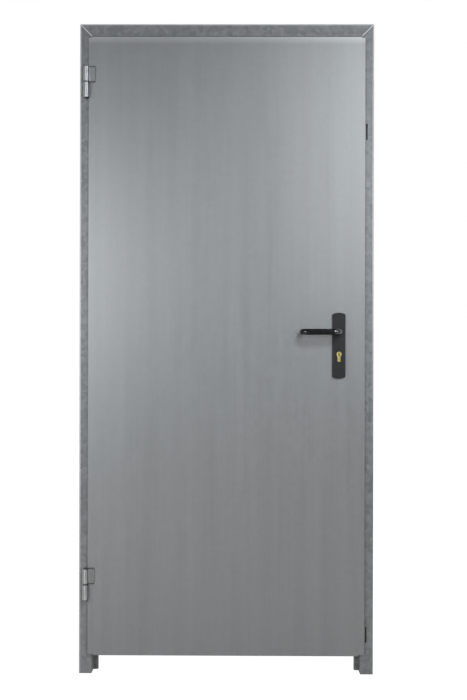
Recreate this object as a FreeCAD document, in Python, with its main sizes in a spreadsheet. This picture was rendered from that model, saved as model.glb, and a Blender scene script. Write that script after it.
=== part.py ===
import FreeCAD, Part
import Sketcher
import math
import os
import re

# Steel utility door: a galvanised leaf on two lift-off hinges in a mitred steel frame.
# +X runs from the hinge jamb to the lock jamb, +Y into the wall and +Z up. The origin is at the foot of the
# hinge jamb, on the lip that bears on the wall. All sizes are in millimetres.

SIZES = {
    # Frame
    "frame_height": 2098,
    "clear_width": 836,
    "stop_width": 15.5,
    "face_width": 41.5,
    "frame_sheet": 1.5,
    "frame_bend": 2,
    "frame_return": 15,
    "wall_lip": 12,
    "rebate_depth": 42,
    "back_lip": 12,
    # Screw holes of the frame
    "screw_hole": 10.5,
    "screw_inset": 24,
    "low_screw_rise": 250,
    "high_screw_drop": 198,
    # Leaf
    "leaf_overlap": 12.5,
    "side_gap": 6.5,
    "face_gap": 6,
    "head_gap": 5,
    "top_reveal": 1.8,
    "leaf_bottom": 60,
    "leaf_thickness": 40,
    "skin_sheet": 1,
    "skin_bend": 1.5,
    "skin_fit": 0.3,
    "edge_return": 14,
    "flange_notch": 4,
    "corner_notch": 11,
    "hem_round": 0.9,
    "channel_sheet": 1.5,
    "channel_height": 30,
    # Hinges
    "knuckle_diameter": 17,
    "knuckle_bevel": 1,
    "leaf_knuckle": 51,
    "frame_knuckle": 52,
    "knuckle_gap": 0.3,
    "knuckle_clearance": 0.5,
    "knuckle_floor": 5,
    "hinge_offset": 5.5,
    "upper_hinge_drop": 147.5,
    "lower_hinge_rise": 231,
    "spare_upper_drop": 278.5,
    "spare_lower_rise": 94,
    "strap_reach": 22,
    "strap_thickness": 3.5,
    "pin_diameter": 10,
    "pin_clearance": 0.05,
    "pin_rise": 36,
    "pin_point": 2,
    "lug_thickness": 4.6,
    "lug_height": 49,
    "slot_clearance": 0.3,
    "slot_end_clearance": 1,
    "receiver_width": 18,
    "receiver_depth": 10.5,
    "receiver_back": 1.5,
    "receiver_wall": 6,
    # Lock
    "backset": 65,
    "lever_height": 1104.5,
    "lock_spacing": 72,
    "forend_height": 235,
    "forend_width": 24,
    "forend_thickness": 3,
    "forend_drop": 32,
    "case_height": 165,
    "case_depth": 88,
    "case_width": 15,
    "follower_hole": 14,
    "bolt_length": 24,
    "bolt_clearance": 0.3,
    "latch_height": 32,
    "latch_width": 11,
    "latch_nose": 3,
    "latch_bevel": 9,
    "latch_rise": 8,
    "dead_height": 36,
    "dead_width": 9,
    "dead_drop": 36,
    "strike_clearance": 5,
    # Profile cylinder
    "cylinder_diameter": 17,
    "cylinder_web": 10,
    "cylinder_height": 33,
    "cylinder_proud": 2,
    "cylinder_clearance": 0.4,
    "plug_diameter": 13,
    "plug_length": 28,
    "plug_clearance": 0.05,
    "keyway_width": 2.6,
    "keyway_height": 8.5,
    "keyway_depth": 22,
    # Handle plates and levers
    "plate_width": 41.5,
    "plate_height": 212,
    "plate_thickness": 9,
    "plate_rise": 5.5,
    "plate_drop": 44,
    "plate_corner": 4,
    "plate_round": 2.5,
    "lever_diameter": 19,
    "lever_reach": 127.5,
    "lever_stand": 50,
    "neck_bend": 18,
    "return_bend": 16,
    "return_gap": 14,
    "tip_bevel": 2.5,
    "journal_diameter": 16,
    "journal_clearance": 0.1,
    "journal_inset": 1,
    "seat_gap": 0.3,
    "spindle_width": 9,
    "socket_depth": 28,
    # Overrun of a cut past the face it starts from
    "cut_margin": 1,
}

PLACES = {
    # Planes through the origin
    "wall_plane": "0",
    "floor_plane": "0",
    "own_axis": "0",
    # Frame: sides along X, faces along Y, heights along Z
    "left_side": "-wall_lip / 2",
    "frame_width": "clear_width + 2 * stop_width + 2 * face_width",
    "right_side": "left_side + frame_width",
    "hinge_rebate": "left_side + face_width",
    "lock_rebate": "right_side - face_width",
    "face_front": "-frame_return",
    "face_back": "face_front + frame_sheet",
    "stop_front": "face_front + rebate_depth",
    "frame_back": "stop_front + back_lip",
    "head_inner": "frame_height - face_width",
    "mitre_reach": "face_width + stop_width + cut_margin",
    "screw_depth": "face_front + screw_inset",
    "screw_middle": "(low_screw_rise + frame_height - high_screw_drop) / 2",
    "screw_span": "frame_height - high_screw_drop - low_screw_rise",
    # Leaf
    "leaf_left": "hinge_rebate - leaf_overlap",
    "leaf_right": "lock_rebate + leaf_overlap",
    "body_left": "hinge_rebate + side_gap",
    "body_right": "lock_rebate - side_gap",
    "panel_left": "body_left + skin_sheet + skin_fit",
    "panel_right": "body_right - skin_sheet - skin_fit",
    "channel_left": "panel_left + skin_bend",
    "channel_right": "panel_right - skin_bend",
    "flange_back": "face_front - face_gap",
    "leaf_front": "flange_back - 2 * skin_sheet",
    "leaf_back": "leaf_front + leaf_thickness",
    "leaf_top": "head_inner - top_reveal",
    "hem_level": "leaf_top - flange_notch",
    "body_top": "head_inner - head_gap",
    # Hinges: a leaf turned end for end hangs on the lock jamb's slots
    "upper_seam": "leaf_top - upper_hinge_drop",
    "lower_seam": "leaf_bottom + lower_hinge_rise",
    "axis_across": "leaf_left - hinge_offset",
    "axis_depth": "leaf_front - knuckle_diameter / 2 - knuckle_clearance",
    "spare_axis": "leaf_right + hinge_offset",
    "spare_upper_seam": "leaf_top - spare_upper_drop",
    "spare_lower_seam": "leaf_bottom + spare_lower_rise",
    # Lock and handle
    "lock_depth": "(leaf_front + leaf_back) / 2",
    "spindle_across": "body_right - backset",
    "cylinder_level": "lever_height - lock_spacing",
    "cylinder_end": "plate_thickness + cylinder_proud",
    "plate_level": "lever_height - plate_drop",
    "forend_level": "lever_height - forend_drop",
    "latch_level": "lever_height + latch_rise",
    "dead_level": "lever_height - dead_drop",
    "case_right": "body_right - forend_thickness",
}

AXES = ("x", "y", "z")
NORMALS = {"XY_Plane": 1, "XZ_Plane": -1, "YZ_Plane": 1}
LEFT = 1
RIGHT = -1
NEAR = 0.01

doc = FreeCAD.newDocument("SteelUtilityDoor")
sheet = doc.addObject("Spreadsheet::Sheet", "Sizes")
for row, (alias, number) in enumerate(SIZES.items(), 1):
    sheet.set(f"A{row}", alias)
    sheet.set(f"B{row}", str(number))
    sheet.setAlias(f"B{row}", alias)
doc.recompute()


def expression(text):
    """The sheet expression of a text in which sizes and places stand by their names."""

    def spell(word):
        name = word.group()
        if name in PLACES:
            return f"({expression(PLACES[name])})"
        return f"Sizes.{name}" if name in SIZES else name

    return re.sub(r"[a-z_]+", spell, str(text))


def value(text):
    """The present length of such a text."""
    return float(sheet.evalExpression(expression(text)))


def bind(target, path, text):
    """Ties a property to the sheet."""
    target.setExpression(path, expression(text))


def new_body(label):
    """An empty body that becomes the sub-part of that name."""
    body = doc.addObject("PartDesign::Body", label)
    body.Label = label
    return body


def new_sketch(body, name, plane, start):
    """A sketch on one of the body's own planes, moved along the plane's axis to start."""
    sketch = body.newObject("Sketcher::SketchObject", name)
    support = next(item for item in body.Origin.OriginFeatures if item.Role == plane)
    sketch.AttachmentSupport = [(support, "")]
    sketch.MapMode = "FlatFace"
    bind(sketch, "AttachmentOffset.Base.z", f"{NORMALS[plane]} * ({start})")
    return sketch


def hold(sketch, kind, geometry, point, text):
    """Holds one coordinate of a sketch point at a bound distance from the sketch's origin."""
    number = sketch.addConstraint(Sketcher.Constraint(kind, -1, 1, geometry, point, value(text)))
    bind(sketch, f"Constraints[{number}]", text)


def draw(sketch, corners, closed=True):
    """Draws lines and arcs from corner to corner.

    A corner is (across, up). With (centre across, centre up, LEFT or RIGHT) after that, an arc starts there.
    """
    points = [FreeCAD.Vector(value(corner[0]), value(corner[1]), 0) for corner in corners]
    runs = []
    for place, corner in enumerate(corners if closed else corners[:-1]):
        start = points[place]
        finish = points[(place + 1) % len(points)]
        if len(corner) == 2:
            runs.append((sketch.addGeometry(Part.LineSegment(start, finish), False), 1, 2))
            continue
        centre = FreeCAD.Vector(value(corner[2]), value(corner[3]), 0)
        ends = (start, finish) if corner[4] == LEFT else (finish, start)
        angles = [math.atan2(end.y - centre.y, end.x - centre.x) for end in ends]
        circle = Part.Circle(centre, FreeCAD.Vector(0, 0, 1), start.distanceToPoint(centre))
        arc = sketch.addGeometry(Part.ArcOfCircle(circle, *angles), False)
        runs.append((arc, 1, 2) if corner[4] == LEFT else (arc, 2, 1))
    for place in range(len(runs) if closed else len(runs) - 1):
        geometry, _, last = runs[place]
        following, first, _ = runs[(place + 1) % len(runs)]
        sketch.addConstraint(Sketcher.Constraint("Coincident", geometry, last, following, first))
    for (geometry, first, last), corner in zip(runs, corners):
        hold(sketch, "DistanceX", geometry, first, corner[0])
        hold(sketch, "DistanceY", geometry, first, corner[1])
    if not closed:
        hold(sketch, "DistanceX", runs[-1][0], runs[-1][2], corners[-1][0])
        hold(sketch, "DistanceY", runs[-1][0], runs[-1][2], corners[-1][1])
    for (geometry, _, _), corner, start, finish in zip(runs, corners, points, points[1:] + points[:1]):
        if len(corner) > 2:
            level = abs(finish.x - start.x) >= abs(finish.y - start.y)
            hold(sketch, "DistanceY" if level else "DistanceX", geometry, 3, corner[3 if level else 2])


def draw_circle(sketch, across, up, diameter):
    """Draws a circle."""
    centre = FreeCAD.Vector(value(across), value(up), 0)
    circle = Part.Circle(centre, FreeCAD.Vector(0, 0, 1), value(diameter) / 2)
    geometry = sketch.addGeometry(circle, False)
    hold(sketch, "DistanceX", geometry, 3, across)
    hold(sketch, "DistanceY", geometry, 3, up)
    number = sketch.addConstraint(Sketcher.Constraint("Diameter", geometry, value(diameter)))
    bind(sketch, f"Constraints[{number}]", diameter)


def rectangle(left, bottom, right, top):
    """The corners of a rectangle."""
    return [(left, bottom), (right, bottom), (right, top), (left, top)]


def block(across, up, width, height):
    """The corners of a rectangle about its middle."""
    half_width = f"({width}) / 2"
    half_height = f"({height}) / 2"
    left = f"{across} - {half_width}"
    right = f"{across} + {half_width}"
    return rectangle(left, f"{up} - {half_height}", right, f"{up} + {half_height}")


def profile(clearance):
    """The outline of a profile cylinder, grown by a clearance: a circle with a round-ended web below it."""
    radius = f"(cylinder_diameter / 2 + {clearance})"
    half_web = f"(cylinder_web / 2 + {clearance})"
    neck = f"(cylinder_level - sqrt({radius} ^ 2 - {half_web} ^ 2))"
    foot = "(cylinder_level - cylinder_height + cylinder_diameter / 2 + cylinder_web / 2)"
    left = f"spindle_across - {half_web}"
    right = f"spindle_across + {half_web}"
    return [
        (left, foot, "spindle_across", foot, LEFT),
        (right, foot),
        (right, neck, "spindle_across", "cylinder_level", LEFT),
        (left, neck),
    ]


def extrude(body, kind, name, plane, outlines, start, length):
    """Pads or pockets outlines from start towards the plus side of the plane's axis.

    An outline is a list of corners, or a circle as (across, up, diameter).
    """
    sketch = new_sketch(body, f"{name}_sketch", plane, start)
    for outline in outlines:
        if isinstance(outline, tuple):
            draw_circle(sketch, *outline)
        else:
            draw(sketch, outline)
    feature = body.newObject(f"PartDesign::{kind}", name)
    feature.Profile = sketch
    bind(feature, "Length", length)
    feature.Reversed = (NORMALS[plane] < 0) == (kind == "Pad")
    doc.recompute()
    return feature


def cut(body, name, plane, outlines, start, length):
    """Pockets outlines and makes sure that material went."""
    before = body.Tip.Shape.Volume
    feature = extrude(body, "Pocket", name, plane, outlines, start, length)
    if feature.Shape.Volume >= before:
        raise RuntimeError(f"{name} cuts nothing")
    return feature


def dress_edges(body, kind, name, size, wanted):
    """Fillets or chamfers the edges of the body's last feature that the test wanted picks out."""
    base = body.Tip
    names = [f"Edge{number}" for number, edge in enumerate(base.Shape.Edges, 1) if wanted(edge)]
    feature = body.newObject(f"PartDesign::{kind}", name)
    feature.Base = (base, names)
    bind(feature, "Radius" if kind == "Fillet" else "Size", size)
    doc.recompute()
    return feature


def round_edges(body, name, radius, wanted):
    """Fillets edges."""
    return dress_edges(body, "Fillet", name, radius, wanted)


def bevel_edges(body, name, size, wanted):
    """Chamfers edges."""
    return dress_edges(body, "Chamfer", name, size, wanted)


def on_level(axis, text):
    """A test for edges that lie at one level of an axis."""
    level = value(text)
    return lambda edge: all(abs(getattr(end.Point, axis) - level) < NEAR for end in edge.Vertexes)


def along(axis, spots):
    """A test for edges along an axis through one of the spots, given in the other two axes."""
    others = [name for name in AXES if name != axis]

    def wanted(edge):
        ends = [vertex.Point for vertex in edge.Vertexes]
        if len(ends) < 2 or abs(getattr(ends[0], axis) - getattr(ends[1], axis)) < NEAR:
            return False
        return any(
            all(abs(getattr(end, name) - level) < NEAR for end in ends for name, level in zip(others, spot))
            for spot in spots
        )

    return wanted


def folded(path, thickness, side):
    """A sheet folded along a path, its thickness on one side: its outline, outer and inner bend corners."""
    numbers = [(value(across), value(up)) for across, up in path]
    normals = []
    for (across, up), (next_across, next_up) in zip(numbers, numbers[1:]):
        length = math.hypot(next_across - across, next_up - up)
        forward = round((next_across - across) / length)
        upward = round((next_up - up) / length)
        normals.append((-side * upward, side * forward))
    far = []
    for place, (across, up) in enumerate(path):
        touching = {normals[max(place - 1, 0)], normals[min(place, len(normals) - 1)]}
        shift = [sum(normal[axis] for normal in touching) for axis in (0, 1)]
        far.append((f"{across} + {shift[0]} * {thickness}", f"{up} + {shift[1]} * {thickness}"))
    outer = []
    inner = []
    for place in range(1, len(path) - 1):
        before = normals[place - 1]
        after = normals[place]
        turns_in = side * (before[0] * after[1] - before[1] * after[0]) > 0
        outer.append(path[place] if turns_in else far[place])
        inner.append(far[place] if turns_in else path[place])
    return path + far[::-1], outer, inner


def fold(body, name, plane, path, thickness, bend, side, start, length):
    """Pads a folded sheet along the plane's axis and rounds its bends."""
    outline, outer, inner = folded(path, thickness, side)
    extrude(body, "Pad", name, plane, [outline], start, length)
    axis = {"XY_Plane": "z", "XZ_Plane": "y", "YZ_Plane": "x"}[plane]
    for which, corners, radius in (("outer", outer, f"{bend} + {thickness}"), ("inner", inner, bend)):
        spots = [(value(across), value(up)) for across, up in corners]
        round_edges(body, f"{name}_{which}_bends", radius, along(axis, spots))


def screw_holes(depth):
    """The four screw holes of a jamb, evenly up its rebate."""
    return [(depth, f"screw_middle + {step} * screw_span / 6", "screw_hole") for step in (-3, -1, 1, 3)]


def hinge_slots(axis, seams):
    """The slots for two hinge lugs in a jamb's face."""
    width = "lug_thickness + 2 * slot_clearance"
    height = "lug_height + 2 * slot_end_clearance"
    return [block(axis, f"{seam} - frame_knuckle / 2", width, height) for seam in seams]


def jamb(label, outer, sign, axis, seams):
    """One leg of the frame: lip, return, face, rebate, stop, back lip, screw holes and hinge slots."""
    body = new_body(label)
    rebate = f"{outer} + {sign} * face_width"
    reveal = f"{rebate} + {sign} * stop_width"
    path = [
        (f"{outer} + {sign} * wall_lip", "wall_plane"),
        (outer, "wall_plane"),
        (outer, "face_front"),
        (rebate, "face_front"),
        (rebate, "stop_front"),
        (reveal, "stop_front"),
        (reveal, "frame_back"),
    ]
    side = LEFT if sign > 0 else RIGHT
    name = f"{label}_fold"
    height = "frame_height"
    fold(body, name, "XY_Plane", path, "frame_sheet", "frame_bend", side, "floor_plane", height)
    mitre = [
        (f"{outer} - {sign} * cut_margin", "frame_height + cut_margin"),
        (f"{outer} + {sign} * mitre_reach", "frame_height + cut_margin"),
        (f"{outer} + {sign} * mitre_reach", "frame_height - mitre_reach"),
    ]
    depth = "frame_back - face_front + 2 * cut_margin"
    cut(body, f"{label}_mitre", "XZ_Plane", [mitre], "face_front - cut_margin", depth)
    through = "frame_sheet + 2 * cut_margin"
    cut(body, f"{label}_slots", "XZ_Plane", hinge_slots(axis, seams), "face_front - cut_margin", through)
    wall = rebate if sign < 0 else f"{rebate} - frame_sheet"
    cut(body, f"{label}_screws", "YZ_Plane", screw_holes("screw_depth"), f"{wall} - cut_margin", through)
    return body


def hinge_jamb():
    """The leg that carries the hinges."""
    return jamb("hinge_jamb", "left_side", 1, "axis_across", ("upper_seam", "lower_seam"))


def lock_jamb():
    """The leg on the lock side, with spare hinge slots and the openings for latch and dead bolt."""
    body = jamb("lock_jamb", "right_side", -1, "spare_axis", ("spare_upper_seam", "spare_lower_seam"))
    strikes = bolt_windows("strike_clearance")
    cut(body, "strikes", "YZ_Plane", strikes, "lock_rebate - cut_margin", "frame_sheet + 2 * cut_margin")
    return body


def frame_head():
    """The top of the frame, of the same section, mitred at both ends."""
    body = new_body("frame_head")
    reveal = "head_inner - stop_width"
    path = [
        ("wall_plane", "frame_height - wall_lip"),
        ("wall_plane", "frame_height"),
        ("face_front", "frame_height"),
        ("face_front", "head_inner"),
        ("stop_front", "head_inner"),
        ("stop_front", reveal),
        ("frame_back", reveal),
    ]
    fold(body, "head_fold", "YZ_Plane", path, "frame_sheet", "frame_bend", LEFT, "left_side", "frame_width")
    depth = "frame_back - face_front + 2 * cut_margin"
    for name, outer, sign in (("hinge_mitre", "left_side", 1), ("lock_mitre", "right_side", -1)):
        mitre = [
            (f"{outer} - {sign} * cut_margin", "frame_height + cut_margin"),
            (f"{outer} - {sign} * cut_margin", "frame_height - mitre_reach"),
            (f"{outer} + {sign} * mitre_reach", "frame_height - mitre_reach"),
        ]
        cut(body, name, "XZ_Plane", [mitre], "face_front - cut_margin", depth)
    return body


def receiver(label, axis, seam):
    """A blind pocket behind a jamb's face that takes a hinge lug."""
    body = new_body(label)
    level = f"{seam} - frame_knuckle / 2"
    height = "lug_height + 2 * slot_end_clearance"
    outside = block(axis, level, "receiver_width", f"{height} + 2 * receiver_wall")
    pocket = block(axis, level, "lug_thickness + 2 * slot_clearance", height)
    depth = "receiver_depth + receiver_back"
    extrude(body, "Pad", f"{label}_block", "XZ_Plane", [outside], "face_back", depth)
    start = "face_back - cut_margin"
    cut(body, f"{label}_pocket", "XZ_Plane", [pocket], start, "receiver_depth + cut_margin")
    return body


def frame_hinge_half(label, seam):
    """The fixed half of a hinge: a bored knuckle on a lug."""
    body = new_body(label)
    foot = f"{seam} - frame_knuckle"
    knuckle = ("axis_across", "axis_depth", "knuckle_diameter")
    extrude(body, "Pad", f"{label}_knuckle", "XY_Plane", [knuckle], foot, "frame_knuckle")
    bevel_edges(body, f"{label}_end", "knuckle_bevel", on_level("z", foot))
    lug = rectangle(
        "axis_across - lug_thickness / 2",
        "axis_depth",
        "axis_across + lug_thickness / 2",
        "face_back + receiver_depth",
    )
    lug_foot = f"{seam} - frame_knuckle / 2 - lug_height / 2"
    extrude(body, "Pad", f"{label}_lug", "XY_Plane", [lug], lug_foot, "lug_height")
    bore = ("axis_across", "axis_depth", "pin_diameter + 2 * pin_clearance")
    cut(body, f"{label}_bore", "XY_Plane", [bore], f"{foot} + knuckle_floor", "frame_knuckle")
    return body


def leaf_hinge_half(label, seam):
    """The moving half of a hinge: a blind-bored knuckle on a plate that lies on the leaf's face."""
    body = new_body(label)
    foot = f"{seam} + knuckle_gap"
    knuckle = ("axis_across", "axis_depth", "knuckle_diameter")
    extrude(body, "Pad", f"{label}_knuckle", "XY_Plane", [knuckle], foot, "leaf_knuckle")
    bevel_edges(body, f"{label}_end", "knuckle_bevel", on_level("z", f"{foot} + leaf_knuckle"))
    plate = rectangle("axis_across", "leaf_front - strap_thickness", "leaf_left + strap_reach", "leaf_front")
    extrude(body, "Pad", f"{label}_plate", "XY_Plane", [plate], foot, "leaf_knuckle")
    bore = ("axis_across", "axis_depth", "pin_diameter + 2 * pin_clearance")
    depth = "leaf_knuckle - knuckle_floor + cut_margin"
    cut(body, f"{label}_bore", "XY_Plane", [bore], f"{foot} - cut_margin", depth)
    return body


def hinge_pin(label, seam):
    """A pin that stands in the fixed knuckle, with a coned point."""
    body = new_body(label)
    sketch = new_sketch(body, f"{label}_sketch", "XZ_Plane", "axis_depth")
    bind(sketch, "AttachmentOffset.Base.x", "axis_across")
    foot = f"{seam} - frame_knuckle + knuckle_floor"
    top = f"{seam} + pin_rise"
    draw(
        sketch,
        [
            ("own_axis", foot),
            ("pin_diameter / 2", foot),
            ("pin_diameter / 2", f"{top} - pin_point"),
            ("pin_diameter / 2 - pin_point", top),
            ("own_axis", top),
        ],
    )
    feature = body.newObject("PartDesign::Revolution", f"{label}_turned")
    feature.Profile = sketch
    feature.ReferenceAxis = (sketch, ["V_Axis"])
    doc.recompute()
    return body


def leaf_front_skin():
    """The front sheet: returned at the bottom, with doubled flanges at both sides and a hem at the top."""
    body = new_body("leaf_front_skin")
    path = [
        ("leaf_front", "hem_level"),
        ("leaf_front", "leaf_bottom"),
        ("leaf_front + edge_return", "leaf_bottom"),
    ]
    width = "panel_right - panel_left"
    fold(body, "front_panel", "YZ_Plane", path, "skin_sheet", "skin_bend", LEFT, "panel_left", width)
    flanges = [
        rectangle("leaf_left", "leaf_front", "panel_left", "flange_back"),
        rectangle("panel_right", "leaf_front", "leaf_right", "flange_back"),
    ]
    start = "leaf_bottom + flange_notch"
    extrude(body, "Pad", "side_flanges", "XY_Plane", flanges, start, f"hem_level - ({start})")
    hem = rectangle("leaf_left + corner_notch", "hem_level", "leaf_right - corner_notch", "leaf_top")
    extrude(body, "Pad", "top_hem", "XZ_Plane", [hem], "leaf_front", "flange_back - leaf_front")
    corners = [
        (value(across), value(depth))
        for across in ("leaf_left", "leaf_right")
        for depth in ("leaf_front", "flange_back")
    ]
    round_edges(body, "flange_hems", "hem_round", along("z", corners))
    rim = [(value(depth), value("leaf_top")) for depth in ("leaf_front", "flange_back")]
    round_edges(body, "top_hem_round", "hem_round", along("x", rim))
    lock_openings(body, "front_openings", "leaf_front - cut_margin", "skin_sheet + 2 * cut_margin")
    return body


def lock_openings(body, name, start, length):
    """Cuts the openings for the spindle and the profile cylinder."""
    spindle = ("spindle_across", "lever_height", "follower_hole")
    cut(body, name, "XZ_Plane", [spindle, profile("cylinder_clearance")], start, length)


def leaf_back_skin():
    """The back sheet with the leaf's side walls, let in at the lock edge for the forend."""
    body = new_body("leaf_back_skin")
    path = [
        ("body_left", "flange_back"),
        ("body_left", "leaf_back"),
        ("body_right", "leaf_back"),
        ("body_right", "flange_back"),
    ]
    height = "body_top - leaf_bottom"
    fold(body, "back_tray", "XY_Plane", path, "skin_sheet", "skin_bend", RIGHT, "leaf_bottom", height)
    start = "leaf_back - skin_sheet - cut_margin"
    lock_openings(body, "back_openings", start, "skin_sheet + 2 * cut_margin")
    width = "forend_width + 2 * bolt_clearance"
    seat = block("lock_depth", "forend_level", width, "forend_height + 2 * bolt_clearance")
    start = "body_right - skin_sheet - cut_margin"
    cut(body, "forend_seat", "YZ_Plane", [seat], start, "skin_sheet + 2 * cut_margin")
    return body


def end_channel(label, level, sign):
    """A channel between the skins that closes the leaf's top or bottom."""
    body = new_body(label)
    web = f"{level} - {sign} * skin_sheet"
    foot = f"{web} - {sign} * channel_height"
    path = [
        ("leaf_front + skin_sheet", foot),
        ("leaf_front + skin_sheet", web),
        ("leaf_back - skin_sheet", web),
        ("leaf_back - skin_sheet", foot),
    ]
    side = RIGHT if sign > 0 else LEFT
    width = "channel_right - channel_left"
    fold(body, f"{label}_fold", "YZ_Plane", path, "channel_sheet", "skin_bend", side, "channel_left", width)
    return body


def bolt_windows(clearance):
    """The outlines of latch and dead bolt in the forend, grown by a clearance."""
    bolts = (("latch_level", "latch_width", "latch_height"), ("dead_level", "dead_width", "dead_height"))
    return [
        block("lock_depth", level, f"{width} + 2 * {clearance}", f"{height} + 2 * {clearance}")
        for level, width, height in bolts
    ]


def lock_forend():
    """The lock's face plate, flush with the leaf's edge."""
    body = new_body("lock_forend")
    plate = block("lock_depth", "forend_level", "forend_width", "forend_height")
    outlines = [plate] + bolt_windows("bolt_clearance")
    extrude(body, "Pad", "forend_plate", "YZ_Plane", outlines, "case_right", "forend_thickness")
    return body


def lock_case():
    """The lock's case behind the forend, open for the bolts, the spindle and the profile cylinder."""
    body = new_body("lock_case")
    case = rectangle(
        "case_right - case_depth",
        "forend_level - case_height / 2",
        "case_right",
        "forend_level + case_height / 2",
    )
    start = "lock_depth - case_width / 2"
    extrude(body, "Pad", "case_block", "XZ_Plane", [case], start, "case_width")
    lock_openings(body, "case_openings", f"{start} - cut_margin", "case_width + 2 * cut_margin")
    windows = bolt_windows("bolt_clearance")
    depth = "bolt_length + bolt_clearance"
    cut(body, "bolt_ways", "YZ_Plane", windows, f"case_right - ({depth})", f"{depth} + cut_margin")
    return body


def latch_bolt():
    """The latch, held back flush, with its bevel to the closing side."""
    body = new_body("latch_bolt")
    near = "lock_depth - latch_width / 2"
    far = "lock_depth + latch_width / 2"
    back = "case_right - bolt_length"
    outline = [
        (back, near),
        ("body_right", near),
        ("body_right", f"{near} + latch_nose"),
        ("body_right - latch_bevel", far),
        (back, far),
    ]
    start = "latch_level - latch_height / 2"
    extrude(body, "Pad", "latch_pad", "XY_Plane", [outline], start, "latch_height")
    return body


def dead_bolt():
    """The dead bolt, drawn back flush."""
    body = new_body("dead_bolt")
    outline = block("lock_depth", "dead_level", "dead_width", "dead_height")
    start = "case_right - bolt_length"
    extrude(body, "Pad", "dead_pad", "YZ_Plane", [outline], start, f"body_right - ({start})")
    return body


def span(side, near, far):
    """Start and length of a stretch that lies near to far out from the leaf's front or back."""
    start = f"leaf_front - ({far})" if side == "front" else f"leaf_back + ({near})"
    return start, f"{far} - ({near})"


def out(side, distance):
    """A depth at a distance out from the leaf's front or back."""
    return f"leaf_front - ({distance})" if side == "front" else f"leaf_back + ({distance})"


def handle_plate(side):
    """A long plate with arched ends and rounded edges, bored for the lever's journal and the cylinder."""
    body = new_body(f"{side}_handle_plate")
    left = "spindle_across - plate_width / 2"
    right = "spindle_across + plate_width / 2"
    shoulder = "plate_height / 2 - plate_rise"
    arch = "((plate_width / 2) ^ 2 + plate_rise ^ 2) / (2 * plate_rise)"
    top = f"plate_level + {shoulder}"
    bottom = f"plate_level - ({shoulder})"
    centre = f"plate_height / 2 - {arch}"
    outline = [
        (left, bottom, "spindle_across", f"plate_level - ({centre})", LEFT),
        (right, bottom),
        (right, top, "spindle_across", f"plate_level + {centre}", LEFT),
        (left, top),
    ]
    start, length = span(side, "0", "plate_thickness")
    extrude(body, "Pad", f"{side}_plate", "XZ_Plane", [outline], start, length)
    corners = [(value(across), value(up)) for across in (left, right) for up in (bottom, top)]
    round_edges(body, f"{side}_plate_corners", "plate_corner", along("y", corners))
    round_edges(body, f"{side}_plate_rim", "plate_round", on_level("y", out(side, "plate_thickness")))
    bore = ("spindle_across", "lever_height", "journal_diameter + 2 * journal_clearance")
    openings = [bore, profile("cylinder_clearance")]
    through = f"{length} + 2 * cut_margin"
    cut(body, f"{side}_plate_openings", "XZ_Plane", openings, f"{start} - cut_margin", through)
    return body


def lever(side):
    """A round bar swept out from the plate, along the leaf and back towards it, on a turned journal."""
    body = new_body(f"{side}_lever")
    neck = "plate_thickness + seat_gap"
    grip = out(side, "lever_stand")
    tip = "spindle_across - lever_reach + lever_diameter / 2"
    bend_depth = out(side, "lever_stand - neck_bend")
    return_depth = out(side, "lever_stand - return_bend")
    turn = RIGHT if side == "front" else LEFT
    route = new_sketch(body, f"{side}_route", "XY_Plane", "lever_height")
    draw(
        route,
        [
            ("spindle_across", out(side, neck)),
            ("spindle_across", bend_depth, "spindle_across - neck_bend", bend_depth, turn),
            ("spindle_across - neck_bend", grip),
            (f"{tip} + return_bend", grip, f"{tip} + return_bend", return_depth, turn),
            (tip, return_depth),
            (tip, out(side, "return_gap")),
        ],
        closed=False,
    )
    section = new_sketch(body, f"{side}_section", "XZ_Plane", out(side, neck))
    draw_circle(section, "spindle_across", "lever_height", "lever_diameter")
    doc.recompute()
    pipe = body.newObject("PartDesign::AdditivePipe", f"{side}_bar")
    pipe.Profile = section
    pipe.Spine = (route, [f"Edge{number}" for number in range(1, len(route.Shape.Edges) + 1)])
    doc.recompute()
    bevel_edges(body, f"{side}_tip", "tip_bevel", on_level("y", out(side, "return_gap")))
    start, length = span(side, "journal_inset", neck)
    journal = ("spindle_across", "lever_height", "journal_diameter")
    extrude(body, "Pad", f"{side}_journal", "XZ_Plane", [journal], start, length)
    start, length = span(side, "0", "socket_depth")
    socket = block("spindle_across", "lever_height", "spindle_width", "spindle_width")
    cut(body, f"{side}_socket", "XZ_Plane", [socket], start, length)
    return body


def lever_spindle():
    """The square bar that joins the two levers through the lock."""
    body = new_body("lever_spindle")
    section = block("spindle_across", "lever_height", "spindle_width", "spindle_width")
    start = "leaf_front - socket_depth"
    extrude(body, "Pad", "spindle_bar", "XZ_Plane", [section], start, "leaf_thickness + 2 * socket_depth")
    return body


def lock_cylinder():
    """The profile cylinder, through leaf and plates, bored for a key plug at each end."""
    body = new_body("lock_cylinder")
    length = "leaf_thickness + 2 * cylinder_end"
    start = out("front", "cylinder_end")
    extrude(body, "Pad", "cylinder_profile", "XZ_Plane", [profile("0")], start, length)
    bore = ("spindle_across", "cylinder_level", "plug_diameter + 2 * plug_clearance")
    for side in ("front", "back"):
        bottom = "cylinder_end - plug_length - bolt_clearance"
        start, length = span(side, bottom, "cylinder_end + cut_margin")
        cut(body, f"{side}_plug_bore", "XZ_Plane", [bore], start, length)
    return body


def key_plug(side):
    """A key plug with its keyway."""
    body = new_body(f"{side}_key_plug")
    plug = ("spindle_across", "cylinder_level", "plug_diameter")
    start, length = span(side, "cylinder_end - plug_length", "cylinder_end")
    extrude(body, "Pad", f"{side}_plug", "XZ_Plane", [plug], start, length)
    keyway = block("spindle_across", "cylinder_level", "keyway_width", "keyway_height")
    start, length = span(side, "cylinder_end - keyway_depth", "cylinder_end + cut_margin")
    cut(body, f"{side}_keyway", "XZ_Plane", [keyway], start, length)
    return body


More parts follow.
